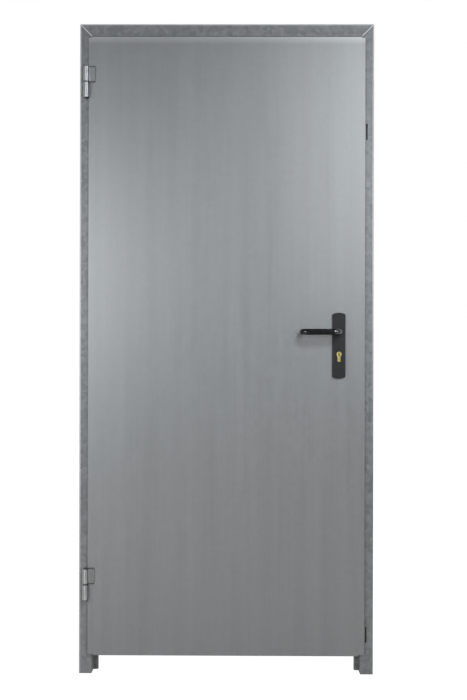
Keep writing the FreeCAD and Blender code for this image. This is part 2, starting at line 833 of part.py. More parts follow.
def build():
    """Makes every sub-part."""
    parts = [hinge_jamb(), lock_jamb(), frame_head()]
    for level in ("upper", "lower"):
        seam = f"{level}_seam"
        parts.append(receiver(f"hinge_jamb_{level}_receiver", "axis_across", seam))
        parts.append(receiver(f"lock_jamb_{level}_receiver", "spare_axis", f"spare_{seam}"))
        parts.append(frame_hinge_half(f"{level}_hinge_frame_half", seam))
        parts.append(leaf_hinge_half(f"{level}_hinge_leaf_half", seam))
        parts.append(hinge_pin(f"{level}_hinge_pin", seam))
    parts += [leaf_front_skin(), leaf_back_skin()]
    parts.append(end_channel("leaf_top_channel", "body_top", 1))
    parts.append(end_channel("leaf_bottom_channel", "leaf_bottom", -1))
    parts += [lock_case(), lock_forend(), latch_bolt(), dead_bolt(), lock_cylinder(), lever_spindle()]
    for side in ("front", "back"):
        parts += [handle_plate(side), lever(side), key_plug(side)]
    return parts


sub_parts = build()
doc.recompute()
for item in doc.Objects:
    if {"Invalid", "Error"} & set(item.State):
        raise RuntimeError(f"{item.Label} failed: {item.State}")
for sub_part in sub_parts:
    if sub_part.Shape.isNull() or not sub_part.Shape.isValid() or len(sub_part.Shape.Solids) != 1:
        raise RuntimeError(f"{sub_part.Label} has no valid single solid")
os.makedirs("parts", exist_ok=True)
for sub_part in sub_parts:
    sub_part.Shape.exportStep(f"parts/{sub_part.Label}.step")
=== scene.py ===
import logging
import math
from dataclasses import dataclass
from enum import Enum

import bpy
from mathutils import Matrix, Vector


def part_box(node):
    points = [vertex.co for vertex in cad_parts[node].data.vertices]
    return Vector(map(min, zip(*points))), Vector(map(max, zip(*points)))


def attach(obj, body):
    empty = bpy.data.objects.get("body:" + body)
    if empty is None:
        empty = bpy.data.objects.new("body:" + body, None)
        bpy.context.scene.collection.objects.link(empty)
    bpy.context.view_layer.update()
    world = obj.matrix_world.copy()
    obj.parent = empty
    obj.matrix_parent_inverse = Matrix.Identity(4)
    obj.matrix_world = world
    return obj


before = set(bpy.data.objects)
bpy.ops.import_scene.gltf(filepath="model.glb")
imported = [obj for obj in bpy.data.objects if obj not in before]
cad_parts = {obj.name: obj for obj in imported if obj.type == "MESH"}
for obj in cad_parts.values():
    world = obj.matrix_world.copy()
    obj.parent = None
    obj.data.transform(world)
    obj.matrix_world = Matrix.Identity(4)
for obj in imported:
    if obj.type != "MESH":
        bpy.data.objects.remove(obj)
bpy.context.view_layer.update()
LOG = logging.getLogger("steel_utility_door")

Colour = tuple[float, float, float]
Point = tuple[float, float, float]

WHITE: Colour = (1.0, 1.0, 1.0)
MIDDLE = 0.5  # the middle of a pattern or of a shade, which both run from 0 to 1
MIX_FIRST, MIX_SECOND, MIX_RESULT = 6, 7, 2  # the colour sockets of a Mix node


def even(scale: float) -> Point:
    """The same factor along X, Y and Z."""
    return (scale, scale, scale)


def opaque(colour: Colour) -> tuple[float, float, float, float]:
    """The colour as a colour socket takes it."""
    return (*colour, 1.0)


class Run(Enum):
    """The axis along which a sheet was rolled, counted from X."""

    ACROSS = 0
    UPRIGHT = 2

    def scale(self, across: float, along: float) -> Point:
        """The scale of a pattern that is drawn out along the run."""
        return tuple(along if axis == self.value else across for axis in range(3))


class Facing(Enum):
    """The way a screw head looks, as the turn that lays its axis there from +Z."""

    BACK = (-math.pi / 2, 0.0, 0.0)
    LOCK_EDGE = (0.0, math.pi / 2, 0.0)


class Sock:
    """A shader socket that takes part in Python arithmetic; each operation adds a Math node."""

    def __init__(self, shader: "Shader", socket: bpy.types.NodeSocket) -> None:
        """Keeps the socket and the shader that it belongs to."""
        self.shader = shader
        self.socket = socket

    def __add__(self, other: "Sock | float") -> "Sock":
        """Sum."""
        return self.shader.math("ADD", self, other)

    def __sub__(self, other: "Sock | float") -> "Sock":
        """Difference."""
        return self.shader.math("SUBTRACT", self, other)

    def __rsub__(self, other: float) -> "Sock":
        """Difference from a number."""
        return self.shader.math("SUBTRACT", other, self)

    def __mul__(self, other: "Sock | float") -> "Sock":
        """Product."""
        return self.shader.math("MULTIPLY", self, other)

    __radd__ = __add__
    __rmul__ = __mul__

    def most(self, other: "Sock | float") -> "Sock":
        """The greater of this and another value."""
        return self.shader.math("MAXIMUM", self, other)

    def clamp(self) -> "Sock":
        """The value held between 0 and 1."""
        return self.shader.math("ADD", self, 0.0, use_clamp=True)


class TreeBuilder:
    """A node tree under construction."""

    def __init__(self, tree: bpy.types.NodeTree) -> None:
        """Keeps the tree."""
        self.tree = tree

    def node(
        self, kind: str, settings: dict | None = None, values: dict | None = None
    ) -> bpy.types.Node:
        """Adds a node.

        Args:
            kind: The node's type.
            settings: Properties, set first.
            values: A number, a colour, a link or a list of links by socket name or index.

        Returns:
            The node.
        """
        node = self.tree.nodes.new(kind)
        for key, value in (settings or {}).items():
            setattr(node, key, value)
        for key, value in (values or {}).items():
            for part in value if isinstance(value, list) else [value]:
                source = part.socket if isinstance(part, Sock) else part
                if isinstance(source, bpy.types.NodeSocket):
                    self.tree.links.new(source, node.inputs[key])
                else:
                    node.inputs[key].default_value = source
        return node


class Shader(TreeBuilder):
    """A node material or world under construction."""

    def __init__(self, owner: bpy.types.Material | bpy.types.World) -> None:
        """Empties the owner's node tree.

        Args:
            owner: A new material or world.
        """
        owner.use_nodes = True
        super().__init__(owner.node_tree)
        self.owner = owner
        self.tree.nodes.clear()

    def math(
        self, operation: str, first: Sock | float, second: Sock | float, use_clamp: bool = False
    ) -> Sock:
        """Adds a Math node.

        Args:
            operation: The node's operation.
            first: First value.
            second: Second value.
            use_clamp: Whether the result is held between 0 and 1.

        Returns:
            The result.
        """
        settings = {"operation": operation, "use_clamp": use_clamp}
        return Sock(self, self.node("ShaderNodeMath", settings, {0: first, 1: second}).outputs[0])

    def place(self, scale: Point) -> Sock:
        """Object coordinates, stretched.

        Args:
            scale: Factors along X, Y and Z.

        Returns:
            The vector.
        """
        coordinates = self.node("ShaderNodeTexCoord")
        values = {"Vector": coordinates.outputs["Object"], "Scale": scale}
        return Sock(self, self.node("ShaderNodeMapping", None, values).outputs[0])

    def axes(self) -> tuple[Sock, Sock, Sock]:
        """Object coordinates along X, Y and Z, in metres."""
        apart = self.node("ShaderNodeSeparateXYZ", None, {0: self.place(even(1.0))})
        return tuple(Sock(self, socket) for socket in apart.outputs)

    def noise(self, scale: Point, detail: float, roughness: float = 0.55) -> Sock:
        """Noise about 0.

        Args:
            scale: Factors along X, Y and Z, in waves per metre.
            detail: Octaves.
            roughness: Share that each octave keeps of the one before.

        Returns:
            A value from -0.5 to 0.5.
        """
        values = {
            "Vector": self.place(scale),
            "Scale": 1.0,
            "Detail": detail,
            "Roughness": roughness,
        }
        return Sock(self, self.node("ShaderNodeTexNoise", None, values).outputs[0]) - MIDDLE

    def cells(self, scale: float, warp_scale: float = 0.8, warp_share: float = 0.9) -> Sock:
        """A random value for each crystal about 0.

        Args:
            scale: Crystals per metre.
            warp_scale: Waves of the warp that bends the crystals' edges, per crystal.
            warp_share: Depth of the warp, in crystals.

        Returns:
            A value from -0.5 to 0.5.
        """
        spot = self.place(even(scale))
        warp = self.node("ShaderNodeTexNoise", None, {"Vector": spot, "Scale": warp_scale})
        values = {"Vector": warp.outputs["Color"], "Scale": warp_share}
        spread = self.node("ShaderNodeVectorMath", {"operation": "SCALE"}, values)
        values = {0: spot, 1: spread.outputs[0]}
        joined = self.node("ShaderNodeVectorMath", {"operation": "ADD"}, values)
        values = {"Vector": joined.outputs[0], "Scale": 1.0}
        crystals = self.node("ShaderNodeTexVoronoi", None, values)
        grey = self.node("ShaderNodeRGBToBW", None, {0: crystals.outputs["Color"]})
        return Sock(self, grey.outputs[0]) - MIDDLE

    def blend(self, factor: Sock, first: Sock | Colour, second: Sock | Colour) -> Sock:
        """Mixes two colours.

        Args:
            factor: 0 for the first, 1 for the second.
            first: A colour or a socket that gives one.
            second: Another.

        Returns:
            The colour.
        """
        values = {"Factor": factor}
        for key, colour in ((MIX_FIRST, first), (MIX_SECOND, second)):
            values[key] = colour if isinstance(colour, Sock) else opaque(colour)
        mix = self.node("ShaderNodeMix", {"data_type": "RGBA"}, values)
        return Sock(self, mix.outputs[MIX_RESULT])

    def bump(self, height: Sock, strength: float, distance: float) -> Sock:
        """Turns a height into a normal.

        Args:
            height: Height in units of distance.
            strength: Share of the effect.
            distance: Depth in metres.

        Returns:
            The normal.
        """
        values = {"Height": height, "Strength": strength, "Distance": distance}
        return Sock(self, self.node("ShaderNodeBump", None, values).outputs[0])

    def finish(self, values: dict) -> bpy.types.Material:
        """Ends the material in a Principled shader.

        Args:
            values: The shader's inputs.

        Returns:
            The material.
        """
        shader = self.node("ShaderNodeBsdfPrincipled", None, values)
        self.node("ShaderNodeOutputMaterial", None, {0: shader.outputs[0]})
        return self.owner

    def backdrop(self, behind: Sock) -> Sock:
        """Picks the rays that see a plain background.

        Args:
            behind: 1 where what is seen lies behind the door, 0 in front of it.

        Returns:
            1 for rays from the camera, through glass, and mirrored from behind the door.
        """
        path = self.node("ShaderNodeLightPath")
        kinds = ("Is Camera Ray", "Is Transmission Ray", "Is Glossy Ray")
        camera, glass, mirror = (Sock(self, path.outputs[kind]) for kind in kinds)
        return camera.most(glass).most(mirror * behind)

    def show(self, output: str, factor: Sock, light: bpy.types.Node, seen: bpy.types.Node) -> None:
        """Ends the tree in a mix of two shaders.

        Args:
            output: The type of the output node.
            factor: 0 for the first shader, 1 for the second.
            light: The shader that lights the door.
            seen: The shader that is seen as the background.
        """
        values = {0: factor, 1: light.outputs[0], 2: seen.outputs[0]}
        mix = self.node("ShaderNodeMixShader", None, values)
        self.node(output, None, {0: mix.outputs[0]})


@dataclass(frozen=True)
class ZincSheet:
    """Hot-dip galvanised sheet: frosty crystals, rolling streaks, soft clouds and slight waves.

    Patterns are counted per metre, streaks and clouds across the run and along it. A share is what
    a pattern adds to the shade, a gloss what it adds to the roughness, and a relief what it adds
    to the height.
    """

    name: str
    run: Run
    dark: Colour = (0.212, 0.2135, 0.215)
    light: Colour = (0.336, 0.339, 0.342)
    crystals: float = 70.0
    streaks: tuple[float, float] = (420.0, 3.0)
    clouds: tuple[float, float] = (24.0, 0.8)
    waves: Point = (3.1, 3.1, 1.7)
    crystal_share: float = 0.10
    streak_share: float = 0.28
    cloud_share: float = 0.40
    crystal_gloss: float = 0.04
    streak_gloss: float = 0.10
    cloud_gloss: float = 0.03
    crystal_relief: float = 0.006
    streak_relief: float = 0.012
    wave_relief: float = 0.06
    bump_strength: float = 0.5
    bump_depth: float = 0.004
    roughness: float = 0.40
    metal: float = 0.58

    def colour(self, shader: Shader, shade: Sock) -> Sock:
        """The sheet's colour for a shade from 0 to 1."""
        return shader.blend(shade.clamp(), self.dark, self.light)

    def build(self) -> bpy.types.Material:
        """Makes the material.

        Returns:
            The material.
        """
        shader = Shader(bpy.data.materials.new(self.name))
        crystal = shader.cells(self.crystals)
        streak = shader.noise(self.run.scale(*self.streaks), detail=4.0)
        cloud = shader.noise(self.run.scale(*self.clouds), detail=3.0)
        wave = shader.noise(self.waves, detail=1.0)
        shade = crystal * self.crystal_share + streak * self.streak_share
        rough = crystal * self.crystal_gloss + streak * self.streak_gloss
        height = wave * self.wave_relief + streak * self.streak_relief
        height = height + crystal * self.crystal_relief
        return shader.finish(
            {
                "Base Color": self.colour(shader, shade + cloud * self.cloud_share + MIDDLE),
                "Metallic": self.metal,
                "Roughness": rough + cloud * self.cloud_gloss + self.roughness,
                "Normal": shader.bump(height, self.bump_strength, self.bump_depth),
            }
        )


@dataclass(frozen=True)
class FoldedZinc(ZincSheet):
    """Galvanised sheet with a painted highlight along its outer edges, which may be paler near the
    ground.

    The painted highlight lies at left, right and top on the plane face, and the right one comes in
    above right_foot. The sheet gets paler below foot.
    """

    left: float = 0.0
    right: float = 0.0
    top: float = 0.0
    face: float = 0.0
    painted_highlight: Colour = (0.68, 0.685, 0.69)
    width: float = 0.006
    right_foot: float = 0.65
    right_rise: float = 1.6
    foot: float = 0.0
    foot_share: float = 0.25

    def colour(self, shader: Shader, shade: Sock) -> Sock:
        """The sheet's colour, with a painted highlight towards the outer edges on its face.

        Args:
            shader: The material under construction.
            shade: The shade from 0 to 1.

        Returns:
            The colour.
        """
        across, depth, level = shader.axes()
        # painted highlight: a band along the outer edges of the face is blended to a light colour;
        # the right band fades in above right_foot
        scale = 1.0 / self.width
        rise = ((level - self.right_foot) * self.right_rise).clamp()
        right = (across - (self.right - self.width)) * rise
        sides = ((self.left + self.width) - across).most(right)
        edge = sides.most(level - (self.top - self.width)) * scale
        front = ((self.face + self.width) - depth) * scale
        if self.foot:
            shade = shade + ((self.foot - level) * (1.0 / self.foot)).clamp() * self.foot_share
        plain = super().colour(shader, shade)
        return shader.blend(edge.clamp() * front.clamp(), plain, self.painted_highlight)


@dataclass(frozen=True)
class BareMetal:
    """Turned or drawn metal with fine tool marks and handling stains.

    Marks and stains are counted per metre. A share is what a pattern adds to the shade, and a
    gloss what it adds to the roughness. The highlight is drawn out by stretch.
    """

    name: str
    dark: Colour
    light: Colour
    roughness: float
    marks: Point = (300.0, 300.0, 900.0)
    stains: float = 60.0
    mark_share: float = 0.35
    stain_share: float = 0.8
    mark_gloss: float = 0.08
    stain_gloss: float = 0.15
    grain: float = 0.12
    grain_depth: float = 0.0004
    metal: float = 1.0
    stretch: float = 0.0
    stretch_turn: float = 0.25

    def colour(self, shader: Shader, shade: Sock) -> Sock:
        """The metal's colour for a shade from 0 to 1."""
        return shader.blend(shade.clamp(), self.dark, self.light)

    def build(self) -> bpy.types.Material:
        """Makes the material.

        Returns:
            The material.
        """
        shader = Shader(bpy.data.materials.new(self.name))
        mark = shader.noise(self.marks, detail=2.0)
        stain = shader.noise(even(self.stains), detail=4.0)
        shade = mark * self.mark_share + stain * self.stain_share + MIDDLE
        rough = mark * self.mark_gloss + stain * (self.stain_gloss * self.stain_share)
        return shader.finish(
            {
                "Base Color": self.colour(shader, shade),
                "Metallic": self.metal,
                "Roughness": rough + self.roughness,
                "Anisotropic": self.stretch,
                "Anisotropic Rotation": self.stretch_turn,
                "Normal": shader.bump(mark, self.grain, self.grain_depth),
            }
        )


@dataclass(frozen=True)
class HingeZinc(BareMetal):
    """Turned knuckle with painted shade at its lower and upper ends, and a duller plate beside it.
    """

    low: float = 0.0
    high: float = 0.0
    plate: float = 0.0
    painted_shade: Colour = (0.03, 0.03, 0.031)
    dull: Colour = (0.30, 0.304, 0.308)
    width: float = 0.0045

    def colour(self, shader: Shader, shade: Sock) -> Sock:
        """The metal's colour, duller on the plate and darker towards both ends, where the shade is
        painted.

        Args:
            shader: The material under construction.
            shade: The shade from 0 to 1.

        Returns:
            The colour.
        """
        across, _, level = shader.axes()
        scale = 1.0 / self.width
        beside = ((across - self.plate) * scale).clamp()
        metal = shader.blend(beside, super().colour(shader, shade), self.dull)
        # painted shade: dark bands at the top and bottom of each half stand in for the shadows at
        # the knuckle seam and above and below the plate
        ends = ((self.low + self.width) - level).most(level - (self.high - self.width))
        return shader.blend((ends * scale).clamp(), metal, self.painted_shade)


@dataclass(frozen=True)
class MouldedPlastic:
    """Black moulded plastic with a fine eroded grain and a little rub.

    Grains and rubs are counted per metre. A share is what a pattern adds to the shade, and a
    gloss what it adds to the roughness.
    """

    name: str
    dark: Colour = (0.010, 0.0102, 0.0105)
    light: Colour = (0.020, 0.0203, 0.021)
    grains: float = 2600.0
    rubs: Point = (45.0, 45.0, 30.0)
    grain_share: float = 0.4
    rub_share: float = 0.9
    grain_gloss: float = 0.12
    rub_gloss: float = 0.16
    bump_strength: float = 0.18
    bump_depth: float = 0.0003
    roughness: float = 0.46
    specular: float = 0.3
    coat: float = 0.0
    coat_roughness: float = 0.09
    coat_index: float = 3.0

    def gloss(self, shader: Shader) -> Sock | float:
        """The weight of the glossy outer skin."""
        return self.coat

    def build(self) -> bpy.types.Material:
        """Makes the material.

        Returns:
            The material.
        """
        shader = Shader(bpy.data.materials.new(self.name))
        grain = shader.noise(even(self.grains), detail=2.0)
        rub = shader.noise(self.rubs, detail=4.0)
        shade = grain * self.grain_share + rub * self.rub_share + MIDDLE
        rough = grain * self.grain_gloss + rub * self.rub_gloss
        return shader.finish(
            {
                "Base Color": shader.blend(shade.clamp(), self.dark, self.light),
                "Roughness": rough + self.roughness,
                "Specular IOR Level": self.specular,
                "Coat Weight": self.gloss(shader),
                "Coat Roughness": self.coat_roughness,
                "Coat IOR": self.coat_index,
                "Normal": shader.bump(grain, self.bump_strength, self.bump_depth),
            }
        )


@dataclass(frozen=True)
class HandledPlastic(MouldedPlastic):
    """Moulded plastic that hands have polished at the neck and the tip."""

    neck: float = 0.0
    tip: float = 0.0
    neck_polish: float = 0.55
    tip_polish: float = 0.15
    ease: float = 0.012

    def gloss(self, shader: Shader) -> Sock | float:
        """The weight of the glossy outer skin, greater at the bends.

        Args:
            shader: The material under construction.

        Returns:
            The weight.
        """
        across, _, _ = shader.axes()
        scale = 1.0 / self.ease
        neck = ((across - self.neck) * scale).clamp() * self.neck_polish
        tip = ((self.tip - across) * scale).clamp() * self.tip_polish
        return neck + tip + self.coat


def dress(nodes: tuple[str, ...], material: bpy.types.Material) -> None:
    """Gives CAD nodes a finish.

    Args:
        nodes: Their names.
        material: The finish.
    """
    for name in nodes:
        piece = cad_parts[name]
        for slot in piece.material_slots:
            slot.material = material
        LOG.info("%s wears %s", name, material.name)


def plain_mesh(source: bpy.types.Object, name: str) -> bpy.types.Object:
    """Turns an object with modifiers into a plain mesh at the origin and removes the source.

    Args:
        source: The object, already at the origin.
        name: The piece's name.

    Returns:
        The piece.
    """
    graph = bpy.context.evaluated_depsgraph_get()
    mesh = bpy.data.meshes.new_from_object(source.evaluated_get(graph), depsgraph=graph)
    piece = bpy.data.objects.new(name, mesh)
    bpy.context.scene.collection.objects.link(piece)
    bpy.data.objects.remove(source)
    return piece


class ShapeTree(TreeBuilder):
    """A Geometry Nodes tree under construction."""

    def __init__(self, name: str, inputs: dict[str, tuple[str, object]]) -> None:
        """Starts a tree with named inputs.

        Args:
            name: The tree's name.
            inputs: Socket type and value by input name. Finish is the material.
        """
        super().__init__(bpy.data.node_groups.new(name, "GeometryNodeTree"))
        sockets = self.tree.interface
        sockets.new_socket("Geometry", in_out="INPUT", socket_type="NodeSocketGeometry")
        self.values: dict[str, object] = {}
        for label, (kind, value) in inputs.items():
            made = sockets.new_socket(label, in_out="INPUT", socket_type=kind)
            self.values[made.identifier] = value
        sockets.new_socket("Geometry", in_out="OUTPUT", socket_type="NodeSocketGeometry")
        self.entry = self.node("NodeGroupInput")

    def given(self, label: str) -> bpy.types.NodeSocket:
        """The tree's input of that name."""
        return self.entry.outputs[label]

    def close(self, shape: bpy.types.NodeSocket) -> None:
        """Ends the tree in real meshes that wear the finish.

        Args:
            shape: The geometry.
        """
        real = self.node("GeometryNodeRealizeInstances", None, {"Geometry": shape})
        values = {"Geometry": real.outputs[0], "Material": self.given("Finish")}
        worn = self.node("GeometryNodeSetMaterial", None, values)
        self.node("NodeGroupOutput", None, {0: worn.outputs[0]})

    def run(
        self, points: list[Point], edges: list[tuple[int, int]], name: str
    ) -> bpy.types.Object:
        """Runs the tree on points and returns the plain result.

        Args:
            points: Vertices, in metres.
            edges: Edges between them.
            name: The piece's name.

        Returns:
            The piece.
        """
        mesh = bpy.data.meshes.new(name)
        mesh.from_pydata(points, edges, [])
        source = bpy.data.objects.new(f"{name}_source", mesh)
        bpy.context.scene.collection.objects.link(source)
        modifier = source.modifiers.new("Shape", "NODES")
        modifier.node_group = self.tree
        for identifier, value in self.values.items():
            modifier[identifier] = value
        return plain_mesh(source, name)


@dataclass
class Screws:
    """Cross-recessed screw heads of one size on one body.

    The top's radius and the slots' length are shares of the head's radius.
    """

    name: str
    body: str
    spots: list[Point]
    facing: Facing
    material: bpy.types.Material
    radius: float = 0.0035
    height: float = 0.0012
    slot_width: float = 0.0011
    top_share: float = 0.82
    slot_share: float = 1.15
    sides: int = 28

    def build(self) -> bpy.types.Object:
        """Makes the heads.

        Returns:
            The piece, riding on its body.
        """
        tree = ShapeTree(
            f"{self.name}_heads",
            {
                "Radius": ("NodeSocketFloat", self.radius),
                "Height": ("NodeSocketFloat", self.height),
                "Slot": ("NodeSocketFloat", self.slot_width),
                "Turn": ("NodeSocketVector", self.facing.value),
                "Finish": ("NodeSocketMaterial", self.material),
            },
        )
        radius, height, slot = (tree.given(label) for label in ("Radius", "Height", "Slot"))
        times = {"operation": "MULTIPLY"}
        top = tree.node("ShaderNodeMath", times, {0: radius, 1: self.top_share}).outputs[0]
        reach = tree.node("ShaderNodeMath", times, {0: radius, 1: self.slot_share}).outputs[0]
        values = {
            "Vertices": self.sides,
            "Radius Top": top,
            "Radius Bottom": radius,
            "Depth": height,
        }
        head = tree.node("GeometryNodeMeshCone", None, values)
        lift = tree.node("ShaderNodeCombineXYZ", None, {"Z": height}).outputs[0]
        bars = []
        for across, along in ((reach, slot), (slot, reach)):
            values = {"X": across, "Y": along, "Z": height}
            size = tree.node("ShaderNodeCombineXYZ", None, values)
            bar = tree.node("GeometryNodeMeshCube", None, {"Size": size.outputs[0]})
            values = {"Geometry": bar.outputs[0], "Translation": lift}
            bars.append(tree.node("GeometryNodeTransform", None, values).outputs[0])
        values = {"Mesh 1": head.outputs["Mesh"], "Mesh 2": bars}
        slotted = tree.node("GeometryNodeMeshBoolean", {"operation": "DIFFERENCE"}, values)
        values = {
            "Points": tree.given("Geometry"),
            "Instance": slotted.outputs[0],
            "Rotation": tree.given("Turn"),
        }
        tree.close(tree.node("GeometryNodeInstanceOnPoints", None, values).outputs[0])
        piece = tree.run(self.spots, [], self.name)
        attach(piece, self.body)
        LOG.info("%s: %d screws", self.name, len(self.spots))
        return piece


@dataclass
class WeldBead:
    """A ground weld bead along a path on the frame, whose radius swells and shrinks."""

    name: str
    path: list[Point]
    material: bpy.types.Material
    radius: float = 0.0011
    corner: float = 0.0035
    steps: int = 90
    sides: int = 14
    ripples: float = 160.0
    ripple_detail: float = 2.0
    swell: float = 0.5
    least: float = 0.75

    def build(self) -> bpy.types.Object:
        """Makes the bead.

        Returns:
            The piece, riding on the frame.
        """
        tree = ShapeTree(
            f"{self.name}_sweep",
            {
                "Radius": ("NodeSocketFloat", self.radius),
                "Corner": ("NodeSocketFloat", self.corner),
                "Finish": ("NodeSocketMaterial", self.material),
            },
        )
        line = tree.node("GeometryNodeMeshToCurve", None, {"Mesh": tree.given("Geometry")})
        values = {"Curve": line.outputs[0], "Radius": tree.given("Corner")}
        eased = tree.node("GeometryNodeFilletCurve", None, values)
        values = {"Curve": eased.outputs[0], "Count": self.steps}
        fine = tree.node("GeometryNodeResampleCurve", None, values)
        values = {"Scale": self.ripples, "Detail": self.ripple_detail}
        rough = tree.node("ShaderNodeTexNoise", None, values)
        values = {0: rough.outputs[0], 1: self.swell, 2: self.least}
        swollen = tree.node("ShaderNodeMath", {"operation": "MULTIPLY_ADD"}, values)
        values = {"Curve": fine.outputs[0], "Radius": swollen.outputs[0]}
        shaped = tree.node("GeometryNodeSetCurveRadius", None, values)
        values = {"Resolution": self.sides, "Radius": tree.given("Radius")}
        ring = tree.node("GeometryNodeCurvePrimitiveCircle", None, values)
        values = {
            "Curve": shaped.outputs[0],
            "Profile Curve": ring.outputs[0],
            "Fill Caps": True,
        }
        tree.close(tree.node("GeometryNodeCurveToMesh", None, values).outputs[0])
        edges = [(place, place + 1) for place in range(len(self.path) - 1)]
        piece = tree.run(self.path, edges, self.name)
        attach(piece, "frame")
        LOG.info("%s runs over %d points", self.name, len(self.path))
        return piece


@dataclass
class DoorFrame:
    """The mitred frame with its receivers and weld beads."""

    face: float = 0.0415
    bend: float = 0.0035
    weld_sink: float = 0.0008
    weld_reach: float = 0.03
    jambs: tuple[str, ...] = ("hinge_jamb", "lock_jamb")
    heads: tuple[str, ...] = ("frame_head",)
    receivers: tuple[str, ...] = (
        "hinge_jamb_upper_receiver",
        "hinge_jamb_lower_receiver",
        "lock_jamb_upper_receiver",
        "lock_jamb_lower_receiver",
    )

    def dress(self) -> None:
        """Gives the sheets their zinc."""
        low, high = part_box("frame_head")
        for nodes, run in ((self.jambs, Run.UPRIGHT), (self.heads, Run.ACROSS)):
            # the frame's zinc carries a painted highlight along its outer edges and top
            zinc = FoldedZinc(
                f"frame_zinc_{run.name.lower()}",
                run,
                dark=(0.112, 0.114, 0.116),
                light=(0.268, 0.271, 0.274),
                crystals=75.0,
                crystal_share=0.55,
                cloud_share=0.6,
                roughness=0.52,
                left=low.x,
                right=high.x,
                top=high.z,
                face=low.y,
                foot=0.6,
            )
            dress(nodes, zinc.build())
        # the receivers are real steel, but their very dark colour stands in for the shade inside
        # the slots: painted shade
        steel = BareMetal(
            "receiver_steel",
            dark=(0.10, 0.10, 0.10),
            light=(0.16, 0.16, 0.16),
            roughness=0.5,
        )
        dress(self.receivers, steel.build())

    def build(self) -> None:
        """Lays a bead on each mitre, across the face and into the rebate."""
        # the bead is real; its near-white colour stands in for the highlight it catches: painted
        # highlight
        ground = BareMetal(
            "ground_weld",
            dark=(0.80, 0.81, 0.82),
            light=(0.94, 0.95, 0.96),
            roughness=0.4,
            stain_share=0.4,
            metal=0.1,
        )
        finish = ground.build()
        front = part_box("hinge_jamb")[0].y + self.weld_sink
        back = front + self.weld_reach
        low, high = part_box("frame_head")
        inner = self.face - self.weld_sink
        mitres = (("hinge_mitre_weld", low.x, 1.0), ("lock_mitre_weld", high.x, -1.0))
        for name, outer, sign in mitres:
            path = [
                (outer + sign * self.bend, front, high.z - self.bend),
                (outer + sign * inner, front, high.z - inner),
                (outer + sign * inner, back, high.z - inner),
            ]
            WeldBead(name, path, finish).build()


@dataclass
class DoorLeaf:
    """The leaf: its skins and end channels.

    The front skin's painted highlight runs only along its top, so the side bands are set well
    outside it.
    """

    front: str = "leaf_front_skin"
    back: str = "leaf_back_skin"
    channels: tuple[str, ...] = ("leaf_top_channel", "leaf_bottom_channel")
    outside: float = 1.0

    def dress(self) -> None:
        """Gives the sheets their zinc, the front one with a painted highlight below its fold at the
        top.
        """
        low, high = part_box(self.front)
        # painted highlight: a 24 mm light band along the top of the front skin
        folded = FoldedZinc(
            "leaf_front_zinc",
            Run.UPRIGHT,
            left=low.x - self.outside,
            right=high.x + self.outside,
            top=high.z,
            face=low.y,
            painted_highlight=(0.405, 0.413, 0.421),
            width=0.024,
        )
        dress((self.front,), folded.build())
        dress((self.back,), ZincSheet("leaf_zinc", Run.UPRIGHT).build())
        dress(self.channels, ZincSheet("channel_zinc", Run.ACROSS).build())


@dataclass
class Hinges:
    """The lift-off hinges."""

    halves: tuple[str, ...] = (
        "upper_hinge_frame_half",
        "lower_hinge_frame_half",
        "upper_hinge_leaf_half",
        "lower_hinge_leaf_half",
    )
    pins: tuple[str, ...] = ("upper_hinge_pin", "lower_hinge_pin")

    def dress(self) -> None:
        """Gives halves and pins their metal."""
        knuckle_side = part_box("upper_hinge_frame_half")[1].x
        for half in self.halves:
            low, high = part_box(half)
            plated = HingeZinc(
                f"{half}_zinc",
                dark=(0.46, 0.465, 0.47),
                light=(0.53, 0.535, 0.54),
                roughness=0.31,
                marks=(15.0, 15.0, 1800.0),
                stain_share=0.2,
                grain=0.2,
                stretch=0.9,
                # low and high bound the painted shade at both ends of each half
                low=low.z,
                high=high.z,
                plate=knuckle_side,
            )
            dress((half,), plated.build())
        steel = BareMetal(
            "pin_steel",
            dark=(0.34, 0.34, 0.34),
            light=(0.5, 0.5, 0.5),
            roughness=0.25,
        )
        dress(self.pins, steel.build())


@dataclass
class LockSet:
    """The mortise lock with its cylinder, and the screws of its forend."""

    steel_nodes: tuple[str, ...] = (
        "lock_case",
        "lock_forend",
        "latch_bolt",
        "dead_bolt",
        "lever_spindle",
    )
    brass_nodes: tuple[str, ...] = ("lock_cylinder", "front_key_plug", "back_key_plug")
    screw_inset: float = 0.012
    screw_sink: float = 0.0005
    screw_radius: float = 0.004
    screw_height: float = 0.001

    def dress(self) -> bpy.types.Material:
        """Gives the lock its metals.

        Returns:
            The steel, for the screws.
        """
        drawn = BareMetal(
            "drawn_steel",
            dark=(0.42, 0.42, 0.42),
            light=(0.6, 0.6, 0.6),
            roughness=0.32,
        )
        steel = drawn.build()
        dress(self.steel_nodes, steel)
        brass = BareMetal(
            "cylinder_brass",
            dark=(0.45, 0.32, 0.07),
            light=(0.92, 0.76, 0.31),
            roughness=0.30,
            marks=even(280.0),
            stain_share=1.2,
            grain=0.8,
        )
        dress(self.brass_nodes, brass.build())
        return steel

    def build(self, steel: bpy.types.Material) -> None:
        """Drives the forend's screws.

        Args:
            steel: Their finish.
        """
        low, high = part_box("lock_forend")
        across, middle = high.x - self.screw_sink, (low.y + high.y) / 2
        levels = (low.z + self.screw_inset, high.z - self.screw_inset)
        screws = Screws(
            "forend_screws",
            "leaf",
            [(across, middle, level) for level in levels],
            Facing.LOCK_EDGE,
            steel,
            radius=self.screw_radius,
            height=self.screw_height,
        )
        screws.build()


